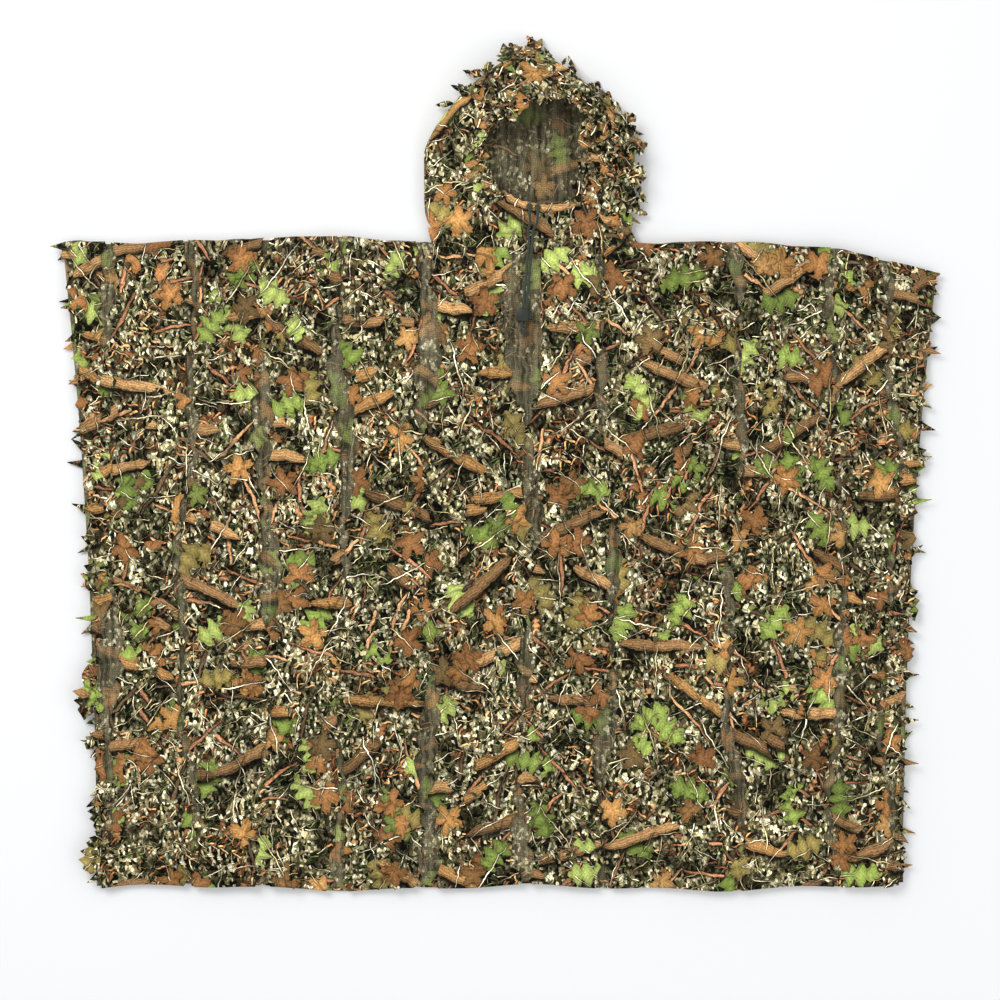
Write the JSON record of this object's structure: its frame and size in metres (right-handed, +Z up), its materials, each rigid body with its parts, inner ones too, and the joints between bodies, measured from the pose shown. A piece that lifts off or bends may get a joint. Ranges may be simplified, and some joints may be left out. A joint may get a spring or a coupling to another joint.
{
  "type": "ghillie suit",
  "caption": "Hooded camouflage poncho of printed mesh with leaf-cut cloth strips, laid flat with its hood opening up; hood drawcord with a sprung cord lock.",
  "frame": {"origin": "on the surface that the poncho lies on, under the middle of its outline without the drawcord pieces", "axes": "+X to the right as seen from above, across the shoulders; +Y from the hem to the hood; +Z up, out of the front"},
  "size_m": [1.3274, 1.256, 0.078],
  "materials": {
    "leaf_cut_print": "matt printed woven polyester, leaf-cut edges",
    "printed_mesh": "matt printed open mesh",
    "binding_cloth": "matt folded cloth",
    "braided_cord": "braided nylon, dull sheen",
    "lock_plastic": "moulded, satin",
    "eyelet_metal": "dark oxidised",
    "spring_steel": "drawn wire"
  },
  "bodies": {
    "torso": {"back_panel_center": "printed_mesh", "front_panel_center": "printed_mesh", "shoulder_fold_left": "binding_cloth", "shoulder_fold_right": "binding_cloth", "neck_band_front": "binding_cloth", "neck_band_back": "binding_cloth", "front_leaf_strip_04": "leaf_cut_print", "front_leaf_strip_05": "leaf_cut_print", "front_leaf_strip_06": "leaf_cut_print", "front_leaf_strip_07": "leaf_cut_print", "front_leaf_strip_08": "leaf_cut_print", "back_leaf_strip_04": "leaf_cut_print", "back_leaf_strip_05": "leaf_cut_print", "back_leaf_strip_06": "leaf_cut_print", "back_leaf_strip_07": "leaf_cut_print", "back_leaf_strip_08": "leaf_cut_print", "drawcord_run_left": "braided_cord", "drawcord_run_right": "braided_cord", "drawcord_end_knot": "braided_cord"},
    "left_wing": {"back_panel_left": "printed_mesh", "front_panel_left": "printed_mesh", "shoulder_fold_left_wing": "binding_cloth", "front_leaf_strip_01": "leaf_cut_print", "front_leaf_strip_02": "leaf_cut_print", "front_leaf_strip_03": "leaf_cut_print", "back_leaf_strip_01": "leaf_cut_print", "back_leaf_strip_02": "leaf_cut_print", "back_leaf_strip_03": "leaf_cut_print"},
    "right_wing": {"back_panel_right": "printed_mesh", "front_panel_right": "printed_mesh", "shoulder_fold_right_wing": "binding_cloth", "front_leaf_strip_09": "leaf_cut_print", "front_leaf_strip_10": "leaf_cut_print", "front_leaf_strip_11": "leaf_cut_print", "back_leaf_strip_09": "leaf_cut_print", "back_leaf_strip_10": "leaf_cut_print", "back_leaf_strip_11": "leaf_cut_print"},
    "hood": {"hood_left_panel": "printed_mesh", "hood_center_panel": "printed_mesh", "hood_right_panel": "printed_mesh", "hood_leaf_trim_left": "leaf_cut_print", "hood_leaf_trim_crown": "leaf_cut_print", "hood_leaf_trim_right": "leaf_cut_print", "hood_rim_casing": "binding_cloth", "hood_drawcord_in_casing": "braided_cord", "cord_eyelet_left": "eyelet_metal", "cord_eyelet_right": "eyelet_metal", "drawcord_rise_left": "braided_cord", "drawcord_rise_right": "braided_cord"},
    "cord_lock": {"cord_lock_body": "lock_plastic", "cord_lock_spring": "spring_steel"},
    "cord_lock_plunger": {"cord_lock_plunger": "lock_plastic"}
  },
  "joints": [
    {"name": "hood_fold", "type": "hinge", "parent": "torso", "child": "hood", "pos_m": [0.044, 0.34, 0.028], "axis": [1, 0, 0], "range_deg": [0, 90]},
    {"name": "left_side_fold", "type": "hinge", "parent": "torso", "child": "left_wing", "pos_m": [-0.35, -0.15, 0.03], "axis": [0, 1, 0], "range_deg": [0, 90]},
    {"name": "right_side_fold", "type": "hinge", "parent": "torso", "child": "right_wing", "pos_m": [0.35, -0.15, 0.03], "axis": [0, -1, 0], "range_deg": [0, 90]},
    {"name": "cord_lock_slide", "type": "slide", "parent": "torso", "child": "cord_lock", "axis": [0.0872, 0.9962, 0], "range_m": [0, 0.07]},
    {"name": "cord_lock_press", "type": "slide", "parent": "cord_lock", "child": "cord_lock_plunger", "axis": [-0.9962, 0.0872, 0], "range_m": [0, 0.003], "stiffness_N_per_m": 400, "springref_m": -0.003, "deforming": ["cord_lock_spring"]}
  ]
}
